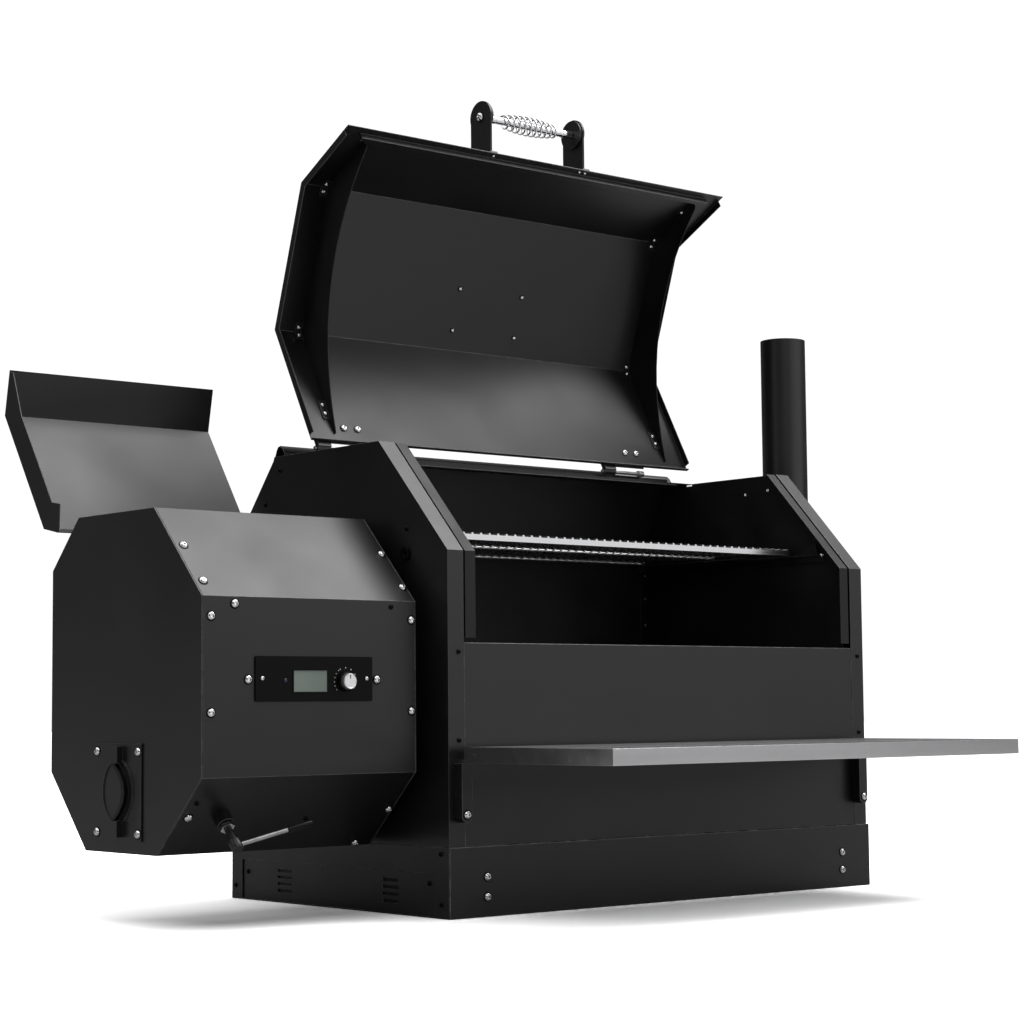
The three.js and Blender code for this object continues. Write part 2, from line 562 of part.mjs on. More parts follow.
// ---- pellet feed, fan and fire ---------------------------------------------------------------
const feed = () => {
  const tubeEnd = POT_X - 60;
  const barrel = tube([-312, AUGER_Y, AUGER_Z], [tubeEnd - GAP, AUGER_Y, AUGER_Z], 24, 22, 32);
  const intake = block([-296, -84], [AUGER_Y - 16, AUGER_Y + 16], [AUGER_Z + 5, AUGER_Z + 40]);
  fixed('auger_tube', cut(barrel, intake), MOTOR);

  fixed('auger_gearmotor', join(
    block([-372, -330], [AUGER_Y - 32, AUGER_Y + 32], [AUGER_Z - 38, AUGER_Z + 26]),
    rod([-398, AUGER_Y, AUGER_Z], [-371, AUGER_Y, AUGER_Z], 24, 24),
  ), MOTOR);

  // Screw: one helical flight round a shaft.
  const pitch = 44;
  const long = tubeEnd + 300;
  const perTurn = 9;
  const steps = Math.round((long / pitch) * perTurn);
  const flight = [];
  const index = [];
  for (let i = 0; i <= steps; i += 1) {
    const turn = (i / perTurn) * 2 * Math.PI;
    const x = -302 + (i / steps) * (long - 6);
    for (const [radius, shift] of [[7, 0], [20, 0], [20, 2.6], [7, 2.6]]) {
      flight.push(x + shift, AUGER_Y + radius * Math.cos(turn), AUGER_Z + radius * Math.sin(turn));
    }
    if (i < steps) {
      for (let k = 0; k < 4; k += 1) {
        const a = i * 4 + k;
        const b = i * 4 + ((k + 1) % 4);
        index.push(a, b + 4, b, a, a + 4, b + 4);
      }
    }
  }
  const end = steps * 4;
  index.push(0, 1, 2, 0, 2, 3, end, end + 2, end + 1, end, end + 3, end + 2);
  const helix = new THREE.BufferGeometry();
  helix.setAttribute('position', new THREE.Float32BufferAttribute(flight, 3));
  helix.setIndex(index);
  const shaft = rod([-329, AUGER_Y, AUGER_Z], [tubeEnd - 2, AUGER_Y, AUGER_Z], 8, 12);
  fixed('auger_screw', join(shaft, helix), MOTOR);

  // Fan: a drum housing with a spout through the casing into the space under the floor.
  const fan = { x: -100, y: 335, z: 158 };
  const drum = join(
    rod([fan.x - 28, fan.y, fan.z], [fan.x + 28, fan.y, fan.z], 44, 32),
    block([fan.x + 4, 40], [300, 352], [109, 126]),
  );
  const hollow = [
    rod([fan.x - 26, fan.y, fan.z], [fan.x + 26, fan.y, fan.z], 42, 32),
    block([fan.x + 4, 45], [302, 350], [111, 124]),
    rod([fan.x - 30, fan.y, fan.z], [fan.x - 20, fan.y, fan.z], 22, 24),
  ];
  fixed('fan_housing', cut(drum, ...hollow), PLASTIC);

  const blades = [rod([fan.x - 24, fan.y, fan.z], [fan.x + 20, fan.y, fan.z], 9, 16)];
  blades.push(rod([fan.x + 17, fan.y, fan.z], [fan.x + 20, fan.y, fan.z], 34, 24));
  for (let i = 0; i < 10; i += 1) {
    const blade = block([fan.x - 16, fan.x + 18], [7, 34], [-1, 1]);
    blade.translate(-fan.x, 0, 0).rotateX((i / 10) * 2 * Math.PI).translate(fan.x, fan.y, fan.z);
    blades.push(blade);
  }
  fixed('fan_impeller', join(...blades), PLASTIC);

  // Fire pot: an open cup over the floor's air holes, with the auger's port in its side.
  const low = FLOOR_Z + SHEET + GAP;
  const cup = [[50, 0], [58, 0], [58, 82], [66, 82], [66, 85], [55, 85], [55, 3], [50, 3], [50, 0]];
  const pot = new THREE.LatheGeometry(cup.map((p) => new THREE.Vector2(...p)), 40);
  pot.rotateX(Math.PI / 2).translate(POT_X, AUGER_Y, low);
  const port = rod([POT_X - 80, AUGER_Y, AUGER_Z], [POT_X - 30, AUGER_Y, AUGER_Z], 21.5, 24);
  fixed('fire_pot', cut(pot, port), CAST);
};

// ---- grates, diffuser and drip pan -------------------------------------------------------------
const tray = (x, y, low, deep, thickness) => cut(
  block(x, y, [low, low + deep]),
  block(
    [x[0] + thickness, x[1] - thickness],
    [y[0] + thickness, y[1] - thickness],
    [low + thickness, low + deep + 1],
  ),
);

const cooking = () => {
  const floor = FLOOR_Z + SHEET + GAP;
  const legs = [];
  for (const x of [120, 800]) {
    for (const y of [90, 420]) {
      legs.push(block([x, x + 24], [y, y + 3], [floor, 262]));
    }
  }
  fixed('heat_diffuser', join(
    foldedSheet([[45, 236], [60, 262], [470, 262], [485, 236]], 3, -1, 70, 865),
    ...legs,
  ), CAST);

  fixed('drip_pan', tray([76, 859], [68, 462], 262.5, 40, THIN), STEEL);

  const grate = (x0, x1) => {
    const bars = [];
    const top = LEDGE_Z + GAP + 8;
    const [y0, y1] = [8, 502];
    for (const y of [y0, y0 + (y1 - y0) / 2 - 4, y1 - 8]) {
      bars.push(block([x0, x1], [y, y + 8], [LEDGE_Z + GAP, top]));
    }
    const count = Math.round((x1 - x0) / 17);
    const pitch = (x1 - x0 - 6) / count;
    for (let i = 0; i <= count; i += 1) {
      const x = x0 + i * pitch;
      bars.push(block([x, x + 6], [y0, y1], [top - 1, top + 5]));
    }
    return join(...bars);
  };
  fixed('main_grate_left', grate(SEAL[0] + 5, BODY_MID - 3), CAST);
  fixed('main_grate_right', grate(BODY_MID + 3, BODY_W - SEAL[0] - 5), CAST);

  // Rails for the upper grate: a narrow lip along the wall and a wide ledge behind the lid's swing.
  const { x, y, z } = UPPER_GRATE;
  const wall = SEAL[0] + GAP;
  const railTop = z - GAP;
  const rail = () => join(
    block([wall, wall + 2], [54, 500], [railTop - 14, railTop]),
    block([wall, wall + 13], [54, 500], [railTop - 2, railTop]),
    block([wall, wall + 50], [212, 500], [railTop - 2, railTop]),
  );
  const handed = (right) => (right ? mirrorX(rail(), BODY_MID) : rail());
  pair(fixed, 'upper_grate_rail', [false, true], handed, SOOT);

  const rods = [];
  const bar = 12;
  rods.push(block(x, [y[0], y[0] + 3], [z, z + bar]));
  for (const at of [(y[0] + y[1]) / 2, y[1] - 6]) {
    rods.push(block(x, [at, at + 6], [z, z + 5]));
  }
  const count = 46;
  for (let i = 0; i <= count; i += 1) {
    const at = x[0] + (i / count) * (x[1] - x[0] - 5);
    rods.push(block([at, at + 5], y, [z + 4, z + 9]));
  }
  fixed('upper_grate', join(...rods), STEEL);
};

// ---- front shelf -------------------------------------------------------------------------------
const shelf = () => {
  const [y0, y1] = SHELF_Y;
  const low = SHELF_TOP - SHELF_DEEP;
  const pan = cut(
    block(SHELF_X, SHELF_Y, [low, SHELF_TOP]),
    block([SHELF_X[0] + THIN, SHELF_X[1] - THIN], [y0 + THIN, y1 - THIN], [low + THIN, SHELF_TOP - THIN]),
    block([SHELF_X[0] + 16, SHELF_X[1] - 16], [y0 + 16, y1 - 16], [low - 1, SHELF_TOP - THIN]),
  );
  const tabs = BRACKET_X.map((x) => block([x - 6, x + 6], [y1 - 1, y1 + 11], [low, low + 4]));
  const seat = BRACKET_Z[0] + BRACKET_W / 2 + GAP;
  const tongues = BRACKET_X.map((x) => block([x - 6, x + 6], [y1 + 8, y1 + 11], [seat, low + 4]));
  fixed('front_shelf', join(pan, ...tabs, ...tongues), STEEL);

  const bracket = (middle) => {
    const half = BRACKET_W / 2;
    const round = new THREE.Shape();
    round.moveTo(middle + half, BRACKET_Z[1]);
    round.lineTo(middle - half, BRACKET_Z[1]);
    round.lineTo(middle - half, BRACKET_Z[0] + half);
    round.absarc(middle, BRACKET_Z[0] + half, half, Math.PI, 2 * Math.PI);
    const channel = prismY(round, -BRACKET_DEEP, -GAP);
    return cut(channel, block(
      [middle - half + 2, middle + half - 2],
      [-BRACKET_DEEP + 2, 1],
      [BRACKET_Z[0] + half, BRACKET_Z[1] + 1],
    ));
  };
  pair(fixed, 'shelf_bracket', BRACKET_X, bracket, BLACK);
};

// ---- main lid, drawn shut and then swung open ------------------------------------------------------
const lidOutline = () => {
  const slope = new THREE.Vector2(PEAK_Y, TOP_Z - FRONT_TOP);
  const lean = Math.atan2(slope.x, slope.y);
  return [
    [LID_BACK_Y, TOP_Z + LID_OFF],
    [PEAK_Y - LID_OFF * Math.tan((Math.PI / 2 - lean) / 2), TOP_Z + LID_OFF],
    [-LID_OFF, FRONT_TOP + LID_OFF * Math.tan(lean / 2)],
    [-LID_OFF, LID_LIP_Z],
  ];
};

const swing = (geometry, [y, z], degrees) => {
  const turned = geometry.clone().translate(0, -y, -z);
  return turned.rotateX(THREE.MathUtils.degToRad(-degrees)).translate(0, y, z);
};

const lidPart = (name, geometry, look) => fixed(name, swing(geometry, LID_HINGE, LID_OPEN), look);

const lid = () => {
  const line = lidOutline();
  const [x0, x1] = LID_X;
  const face = -LID_OFF;
  const skirtLine = [[LID_BACK_Y - 10, line[0][1]], line[1], line[2], [face, LIP_CLEAR_Z]];
  const skirt = (x) => foldedSheet(skirtLine, SKIRT_DEEP, 1, x, x + THIN);
  const stiff = [66, BODY_W - 66];
  const stiffBack = 8;
  lidPart('lid_shell', join(
    foldedSheet(line, THIN, 1, x0, x1),
    skirt(x0),
    skirt(x1 - THIN),
    block(stiff, [face + THIN / 2, stiffBack], [LIP_CLEAR_Z, LIP_CLEAR_Z + THIN]),
    block(stiff, [stiffBack - THIN, stiffBack], [LIP_CLEAR_Z, LIP_CLEAR_Z + 9]),
    block([x0, x1], [LID_BACK_Y - THIN, LID_BACK_Y], [TOP_Z - 3, TOP_Z + LID_OFF - 1]),
  ), BLACK);

  // End panels: follow the shell outside, with one long curved free edge inside, and folded tabs
  // that are screwed to the shell at its folds and near the rear.
  const close = offsetLine(line, THIN + GAP, 1);
  const rear = LID_BACK_Y - 16;
  const tip = [9.5, 433];
  const edge = [[rear, close[0][1]], close[1], close[2], [close[3][0], tip[1] - 3]];
  const free = new THREE.QuadraticBezierCurve(
    new THREE.Vector2(...tip),
    new THREE.Vector2(113, 672),
    new THREE.Vector2(rear, 733),
  ).getPoints(14).map((p) => [p.x, p.y]);
  const along = (from, to, distance) => new THREE.Vector2(...to)
    .sub(new THREE.Vector2(...from)).setLength(distance).add(new THREE.Vector2(...from)).toArray();
  const reach = 17;
  const tabLines = [
    [along(close[1], close[0], reach), close[1], along(close[1], close[2], reach)],
    [along(close[2], close[1], reach), close[2], along(close[2], close[3], reach)],
    [[352, close[0][1]], [314, close[0][1]]],
  ];
  const crescent = (x) => join(
    prismX([...edge, ...free], x, x + THIN),
    ...tabLines.map((tab) => foldedSheet(tab, THIN, 1, x - 14, x + THIN)),
  );
  pair(lidPart, 'lid_end', CRESCENT_X, crescent, SOOT);

  // Plain plate on the slope, held by four screws from inside.
  const slope = new THREE.Vector2(...line[2]).sub(new THREE.Vector2(...line[1])).normalize();
  const outward = new THREE.Vector2(slope.y, -slope.x);
  const onSlope = (down, off) => (
    new THREE.Vector2(...line[1]).addScaledVector(slope, down).addScaledVector(outward, off).toArray()
  );
  const plate = [onSlope(24, GAP), onSlope(129, GAP), onSlope(129, GAP + 2), onSlope(24, GAP + 2)];
  lidPart('lid_badge_plate', prismX(plate, ...BADGE_X), CHROME);

  // Handle: two round-ended brackets that droop from a foot on the front facet, each with a
  // spacer disc inside, a rod and a coiled wire grip.
  const foot = face - GAP;
  const [rodY, rodZ] = HANDLE_ROD;
  const radius = 28;
  const lean = THREE.MathUtils.degToRad(HANDLE_LEAN);
  const back = new THREE.Vector2(Math.cos(lean), Math.sin(lean));
  const side = new THREE.Vector2(back.y, -back.x);
  const rodAt = new THREE.Vector2(rodY, rodZ);
  const footAt = (across) => {
    const from = rodAt.clone().addScaledVector(side, across);
    return from.addScaledVector(back, (foot - from.x) / back.x).toArray();
  };
  const neck = radius - 1.5;
  const waist = (across) => (
    rodAt.clone().addScaledVector(side, across).addScaledVector(back, 9).toArray()
  );
  const bracket = (x) => {
    const low = footAt(neck);
    const high = footAt(-neck);
    const arm = new THREE.Shape();
    arm.moveTo(...low);
    arm.lineTo(...waist(neck));
    arm.absarc(rodY, rodZ, radius, lean - 1.24, lean + 1.24, true);
    arm.lineTo(...high);
    const disc = x < HANDLE_X ? [x + 1.5, x + 6.5] : [x - 6.5, x - 1.5];
    return join(
      prism(arm, 4, [Y, Z, X], [x - 2, 0, 0]),
      rod([disc[0], rodY, rodZ], [disc[1], rodY, rodZ], radius - 2, 32),
      block([x - 2, x + 14], [foot - 3, foot], [LID_LIP_Z, high[1] + 2]),
    );
  };
  const ends = [HANDLE_X - HANDLE_HALF, HANDLE_X + HANDLE_HALF];
  pair(lidPart, 'handle_bracket', ends, bracket, BLACK);
  const grasp = [ends[0] + 6.5 + GAP, ends[1] - 6.5 - GAP];
  lidPart('handle_rod', rod([grasp[0], rodY, rodZ], [grasp[1], rodY, rodZ], 7.5, 20), CHROME);
  lidPart('handle_coil', coil(HANDLE_X, rodY, rodZ), CHROME);

  // Hinges: leaf on the outside of the lid with one knuckle, turning on the base's bare pin.
  const leaf = (x) => cut(
    join(
      block([x, x + 99], [352, LID_BACK_Y + 2], [TOP_Z + LID_OFF + GAP, TOP_Z + LID_OFF + GAP + 2.4]),
      block([x, x + 27], [LID_BACK_Y - 10, LID_HINGE[0]], [TOP_Z + LID_OFF + GAP, LID_HINGE[1]]),
      rod([x, ...LID_HINGE], [x + 27, ...LID_HINGE], 6, 24),
    ),
    rod([x - 1, ...LID_HINGE], [x + 28, ...LID_HINGE], 3.5, 24),
  );
  pair(lidPart, 'lid_hinge_leaf', HINGE_X, leaf, BLACK);
  const base = (x) => {
    const top = RAIL_TOP_Z + GAP;
    return join(
      block([x + 30, x + 171], [LID_HINGE[0] + 8, 455], [top, top + 2]),
      block([x + 30, x + 99], [LID_HINGE[0], 455], [top, top + 2]),
      rod([x + 86, ...LID_HINGE], [x + 99, ...LID_HINGE], 5.4, 24),
      rod([x - 4, ...LID_HINGE], [x + 99, ...LID_HINGE], 3, 20),
    );
  };
  pair(fixed, 'lid_hinge_base', HINGE_X, base, STEEL);
};
const HINGE_X = [45.5, 691];

// Spindle-shaped wire coil round the handle rod.
const coil = (middle, y, z) => {
  const turns = 10;
  const half = 61;
  class Helix extends THREE.Curve {
    getPoint(t, target = new THREE.Vector3()) {
      const turn = t * turns * 2 * Math.PI;
      const reach = 10.2 + 6 * Math.sin(Math.PI * t);
      return target.set(
        middle - half + 2 * half * t,
        y + reach * Math.cos(turn),
        z + reach * Math.sin(turn),
      );
    }
  }
  const section = new THREE.Shape();
  section.absarc(0, 0, 1.8, 0, 2 * Math.PI);
  return new THREE.ExtrudeGeometry(section, {
    steps: turns * 11,
    curveSegments: 3,
    bevelEnabled: false,
    extrudePath: new Helix(),
  });
};

// ---- hopper lid, drawn shut and then swung open ----------------------------------------------------
const hopperLid = () => {
  const [h0, h1] = HOP_X;
  const start = new THREE.Vector2(...HOP_PROFILE.topFront);
  const front = new THREE.Vector2(...HOP_PROFILE.frontHigh).sub(start).normalize();
  const corner = new THREE.Vector2(start.x - 1.2, HOP_LID_Z);
  const lip = corner.clone().addScaledVector(front, HOP_LID_LIP);
  const heel = new THREE.Vector2(HOP_LID_BACK_Y, HOP_LID_Z);
  const fall = new THREE.Vector2(...onBevel(1, 0)).sub(new THREE.Vector2(...onBevel(0, 0)));
  const tail = heel.clone().addScaledVector(fall, HOP_LID_TAIL);
  const line = [tail, heel, corner, lip].map((p) => p.toArray());
  const cheekEnd = lip.clone().addScaledVector(front, -3);
  const cheekFoot = cheekEnd.clone().add(new THREE.Vector2(-front.y, front.x).multiplyScalar(12));
  const cheek = (x) => prismX([
    ...line.slice(0, -1),
    cheekEnd.toArray(),
    cheekFoot.toArray(),
    [208, 570],
    [385, 569],
    [402, 551],
    [431, 573],
  ], x, x + THIN);
  const knuckles = HINGE_LID_X.map(([a, b]) => cut(
    join(
      rod([a, ...HOP_HINGE], [b, ...HOP_HINGE], 4.2, 16),
      prismX([[428, 587.2], [446, 584.8], [446, 577.4], [430.5, 584.4]], a, b),
    ),
    rod([a - 1, ...HOP_HINGE], [b + 1, ...HOP_HINGE], 2.5, 16),
  ));
  const x0 = h0 - 2 * GAP - THIN;
  const x1 = h1 + 2 * GAP + THIN;
  const shell = join(foldedSheet(line, THIN, 1, x0, x1), cheek(x0), ...knuckles);
  fixed('hopper_lid', swing(shell, HOP_HINGE, HOP_OPEN), BLACK);
};

// ---- probe port ------------------------------------------------------------------------------------
const probePort = () => {
  fixed('probe_port_grommet', tube([-4, 102, 552.5], [-GAP, 102, 552.5], 11, 5.5, 28), PLASTIC);
};

plinth();
casing();
chimney();
hopper();
controls();
grip();
crank();
feed();
cooking();
shelf();
lid();
hopperLid();
probePort();

export default object;
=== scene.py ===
"""Looks of the built-in pellet smoker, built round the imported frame. Metres, row frame."""

import itertools
import json
import math

import bmesh
import bpy
from mathutils import Matrix, Vector

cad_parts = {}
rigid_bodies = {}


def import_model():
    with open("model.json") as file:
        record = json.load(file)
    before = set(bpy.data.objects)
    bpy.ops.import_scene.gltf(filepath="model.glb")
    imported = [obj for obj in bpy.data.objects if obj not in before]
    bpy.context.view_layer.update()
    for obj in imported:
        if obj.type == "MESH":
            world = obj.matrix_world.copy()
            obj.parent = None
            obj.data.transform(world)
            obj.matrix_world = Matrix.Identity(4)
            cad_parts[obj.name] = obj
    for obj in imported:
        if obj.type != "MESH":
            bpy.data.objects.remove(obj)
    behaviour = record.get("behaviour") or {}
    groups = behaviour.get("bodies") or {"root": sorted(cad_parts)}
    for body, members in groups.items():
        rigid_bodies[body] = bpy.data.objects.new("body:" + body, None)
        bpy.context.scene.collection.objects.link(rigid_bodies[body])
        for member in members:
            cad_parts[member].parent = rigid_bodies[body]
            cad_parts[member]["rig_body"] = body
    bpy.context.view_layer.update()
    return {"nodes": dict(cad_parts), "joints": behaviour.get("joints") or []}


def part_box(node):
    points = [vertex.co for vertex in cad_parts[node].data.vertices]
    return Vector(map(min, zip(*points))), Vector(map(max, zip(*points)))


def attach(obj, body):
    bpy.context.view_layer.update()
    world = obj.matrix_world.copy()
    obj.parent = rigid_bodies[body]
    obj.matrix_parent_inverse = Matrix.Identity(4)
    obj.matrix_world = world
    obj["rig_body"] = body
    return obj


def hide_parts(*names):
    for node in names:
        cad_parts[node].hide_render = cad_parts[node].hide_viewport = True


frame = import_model()

MM = 0.001
X, Y, Z = Vector((1, 0, 0)), Vector((0, 1, 0)), Vector((0, 0, 1))
JOINTS = {joint["name"]: joint for joint in frame["joints"]}
PANEL_PROUD = 1.5 * MM            # the plinth's front stands this far in front of the casing
plinth_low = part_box("base_front_panel")[0]
CORNER = Vector((plinth_low.x, plinth_low.y + PANEL_PROUD, 0))


def at(x, y, z):
    """A place given in millimetres from the casing's front left bottom corner."""
    return CORNER + Vector((x, y, z)) * MM


def opened(joint):
    """The move that carries a place on a shut lid to where it is with the lid open."""
    pivot = Vector(JOINTS[joint]["pos_m"])
    swing = Matrix.Rotation(-math.radians(JOINTS[joint]["range_deg"][1]), 4, "X")
    return Matrix.Translation(pivot) @ swing @ Matrix.Translation(-pivot)


LID = opened("lid_hinge")
HINGES = (45.5, 691)              # left ends of the lid's two hinges


# ---- materials -------------------------------------------------------------------------
def shader_tree(name):
    material = bpy.data.materials.new(name)
    material.use_nodes = True
    nodes, links = material.node_tree.nodes, material.node_tree.links
    return material, nodes, links, nodes["Principled BSDF"]


def noise(nodes, links, scale, detail=4.0, stretch=(1, 1, 1)):
    """Fractal noise in the object's own metres, stretched along its axes."""
    place = nodes.new("ShaderNodeTexCoord")
    spread = nodes.new("ShaderNodeMapping")
    spread.inputs["Scale"].default_value = stretch
    links.new(place.outputs["Object"], spread.inputs["Vector"])
    field = nodes.new("ShaderNodeTexNoise")
    field.inputs["Scale"].default_value = scale
    field.inputs["Detail"].default_value = detail
    links.new(spread.outputs["Vector"], field.inputs["Vector"])
    return field.outputs["Fac"]


def remap(nodes, links, value, low, high, start=0.3, end=0.7):
    span = nodes.new("ShaderNodeMapRange")
    span.inputs["From Min"].default_value = start
    span.inputs["From Max"].default_value = end
    span.inputs["To Min"].default_value = low
    span.inputs["To Max"].default_value = high
    links.new(value, span.inputs["Value"])
    return span.outputs["Result"]


def blended(nodes, links, value, dark, light, start=0.3, end=0.7):
    mix = nodes.new("ShaderNodeMix")
    mix.data_type = "RGBA"
    mix.inputs["A"].default_value = (*dark, 1)
    mix.inputs["B"].default_value = (*light, 1)
    links.new(remap(nodes, links, value, 0, 1, start, end), mix.inputs["Factor"])
    return mix.outputs["Result"]


def finish(name, dark, light, rough, metal=0.0, patch=6.0, grain=1400.0, relief=0.05, depth=0.2 * MM,
           stretch=(1, 1, 1), specular=0.5):
    """A surface with broad unevenness in tone and gloss and a fine relief."""
    material, nodes, links, shader = shader_tree(name)
    broad = noise(nodes, links, patch, 5.0, stretch)
    links.new(blended(nodes, links, broad, dark, light), shader.inputs["Base Color"])
    low, high = rough
    links.new(remap(nodes, links, broad, low, high), shader.inputs["Roughness"])
    fine = noise(nodes, links, grain, 2.0, stretch)
    bump = nodes.new("ShaderNodeBump")
    bump.inputs["Strength"].default_value = relief
    bump.inputs["Distance"].default_value = depth
    links.new(fine, bump.inputs["Height"])
    links.new(bump.outputs["Normal"], shader.inputs["Normal"])
    shader.inputs["Metallic"].default_value = metal
    shader.inputs["Specular IOR Level"].default_value = specular
    return material


def grey(value):
    return (value, value, value * 1.02)


COAT = finish("powder_coat", grey(0.0035), grey(0.0055), (0.33, 0.43), relief=0.3, depth=0.06 * MM, grain=900)
# Lighter, glossier coat for the bevels on coated parts: a painted highlight along folds and edges.
COAT_EDGE_HIGHLIGHT = finish("powder_coat_painted_edge_highlight", grey(0.05), grey(0.12), (0.22, 0.32), patch=40)
INSIDE = finish("chamber_coat", grey(0.0022), (0.0045, 0.0042, 0.004), (0.42, 0.6), patch=9, relief=0.3,
                grain=700, specular=0.35)
# A darker, duller coat: the crank grip's own colour, and painted shade on the grip's bail.
DARK = finish("dark_fitting_and_painted_shade", grey(0.002), grey(0.004), (0.30, 0.40), patch=30, relief=0.4, grain=900,
              specular=0.22)
# Lighter coat for the bevels on chamber parts: a painted highlight along their edges.
INSIDE_EDGE_HIGHLIGHT = finish("chamber_coat_painted_edge_highlight", grey(0.01), grey(0.03), (0.3, 0.45), patch=40)
STAINLESS = finish("stainless", grey(0.58), grey(0.66), (0.25, 0.30), metal=1.0, patch=2.0, grain=3.0,
                   relief=0.03, depth=0.03 * MM, stretch=(1, 160, 160))
SHELF = finish("shelf_steel", grey(0.60), grey(0.66), (0.22, 0.28), metal=1.0, patch=1.2, grain=4.0,
               relief=0.02, depth=0.05 * MM, stretch=(1, 25, 25))
SATIN = finish("satin_aluminium", grey(0.82), grey(0.88), (0.34, 0.40), metal=1.0, patch=60, relief=0.02)
CHROME = finish("chrome", grey(0.74), grey(0.82), (0.05, 0.12), metal=1.0, patch=60, relief=0.02)
ZINC = finish("zinc", grey(0.34), grey(0.50), (0.28, 0.45), metal=1.0, patch=70, relief=0.1)
IRON = finish("cast_iron", (0.030, 0.028, 0.026), (0.060, 0.055, 0.050), (0.55, 0.75), patch=30, grain=500,
              relief=0.7, depth=0.3 * MM)
PLASTIC = finish("black_plastic", grey(0.0015), grey(0.003), (0.4, 0.5), patch=30, relief=0.2, grain=1800,
                 specular=0.1)
GLASS = finish("display", (0.16, 0.20, 0.18), (0.20, 0.24, 0.21), (0.2, 0.24), patch=14, relief=0.01)
INK = finish("white_ink", grey(0.62), grey(0.72), (0.5, 0.6), patch=300, relief=0.02)
LAMP = finish("blue_lamp", (0.010, 0.014, 0.035), (0.016, 0.022, 0.05), (0.12, 0.18), patch=200, relief=0.01)

# Lighter coats for the bevels: painted highlights along the edges.
EDGE_HIGHLIGHT_OF = {COAT: COAT_EDGE_HIGHLIGHT, INSIDE: INSIDE_EDGE_HIGHLIGHT}


# ---- mesh kit ----------------------------------------------------------------------------
def piece(name, bm, look, body, crease=32, edge=0.0, steps=2, carry=None):
    """Makes a piece from a bmesh: smooth shading between creases, and rounded sharp edges, on coats in a
    lighter edge coat that paints a highlight along them.
    """
    if carry is not None:
        bm.transform(carry)
    bmesh.ops.recalc_face_normals(bm, faces=bm.faces)
    mesh = bpy.data.meshes.new(name)
    bm.to_mesh(mesh)
    bm.free()
    mesh.materials.append(look)
    made = bpy.data.objects.new(name, mesh)
    bpy.context.scene.collection.objects.link(made)
    mesh.shade_smooth()
    mesh.set_sharp_from_angle(angle=math.radians(crease))
    if edge:
        # The bevel's faces take the lighter edge coat: a painted highlight.
        mesh.materials.append(EDGE_HIGHLIGHT_OF.get(look, look))
        bevel = made.modifiers.new("rounded_edges", "BEVEL")
        bevel.width = edge
        bevel.segments = steps
        bevel.limit_method = "ANGLE"
        bevel.angle_limit = math.radians(crease)
        bevel.use_clamp_overlap = True
        bevel.material = 1
        bevel.harden_normals = True
    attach(made, body)
    return made


def skin(node, look, edge=0.5 * MM, crease=32, steps=2):
    """The CAD node's own form with its flat faces made whole and its edges rounded."""
    source = frame["nodes"][node]
    bm = bmesh.new()
    bm.from_mesh(source.data)
    bmesh.ops.remove_doubles(bm, verts=bm.verts, dist=0.02 * MM)
    bmesh.ops.dissolve_limit(bm, angle_limit=math.radians(1), verts=bm.verts, edges=bm.edges)
    made = piece(node + "_finished", bm, look, source["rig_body"], crease, edge, steps)
    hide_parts(node)
    return made


def loft(bm, rings):
    """Joins rings of vertices one after the other, and closes both ends."""
    sides = len(rings[0])
    for near, far in zip(rings, rings[1:]):
        for k in range(sides):
            n = (k + 1) % sides
            bm.faces.new((near[k], near[n], far[n], far[k]))
    bm.faces.new(rings[0][::-1])
    bm.faces.new(rings[-1])


def turned(bm, profile, centre, axis, sides=32):
    """A solid of revolution: profile is (radius, height along axis) from end to end."""
    axis = Vector(axis).normalized()
    first = axis.orthogonal().normalized()
    second = axis.cross(first)
    rings = []
    for radius, height in profile:
        ring = []
        for k in range(sides):
            turn = 2 * math.pi * k / sides
            reach = radius(turn) if callable(radius) else radius
            spot = first * math.cos(turn) + second * math.sin(turn)
            ring.append(bm.verts.new(Vector(centre) + spot * reach + axis * height))
        rings.append(ring)
    loft(bm, rings)


def hexagon(across):
    """Radius of a hexagon with that distance across its flats, by angle."""
    def radius(turn):
        return across / 2 / math.cos((turn + math.pi / 6) % (math.pi / 3) - math.pi / 6)
    return radius


def button(bm, place, normal, radius, height):
    """A button head with a hexagon socket."""
    socket = hexagon(radius * 0.86)
    dome = [(radius * 0.94, 0), (radius, height * 0.1), (radius * 0.95, height * 0.42)]
    dome += [(radius * 0.82, height * 0.72), (radius * 0.66, height * 0.92), (radius * 0.54, height)]
    turned(bm, [*dome, (socket, height), (socket, height * 0.35), (radius * 0.1, height * 0.25)],
           place, normal, 24)


# A dark disc under a screw head, in black plastic: painted shadow round the head.
def shadow_disc(bm, place, normal, radius, height):
    turned(bm, [(radius, 0), (radius, height * 0.7), (radius * 0.96, height)], place, normal, 24)


def screws(name, places, radius, height, look, body, carry=None, ring=None):
    """Button screws at (place, outward normal) pairs, as one piece, each on a dark disc if asked: painted
    shadow round its head.
    """
    bm = bmesh.new()
    for place, normal in places:
        button(bm, place + Vector(normal).normalized() * (0.5 * MM), normal, radius, height)
    piece(name, bm, look, body, carry=carry)
    if ring:
        bm = bmesh.new()
        for place, normal in places:
            shadow_disc(bm, place, normal, ring, 0.8 * MM)
        piece(name + "_shadow_discs", bm, PLASTIC, body, carry=carry)


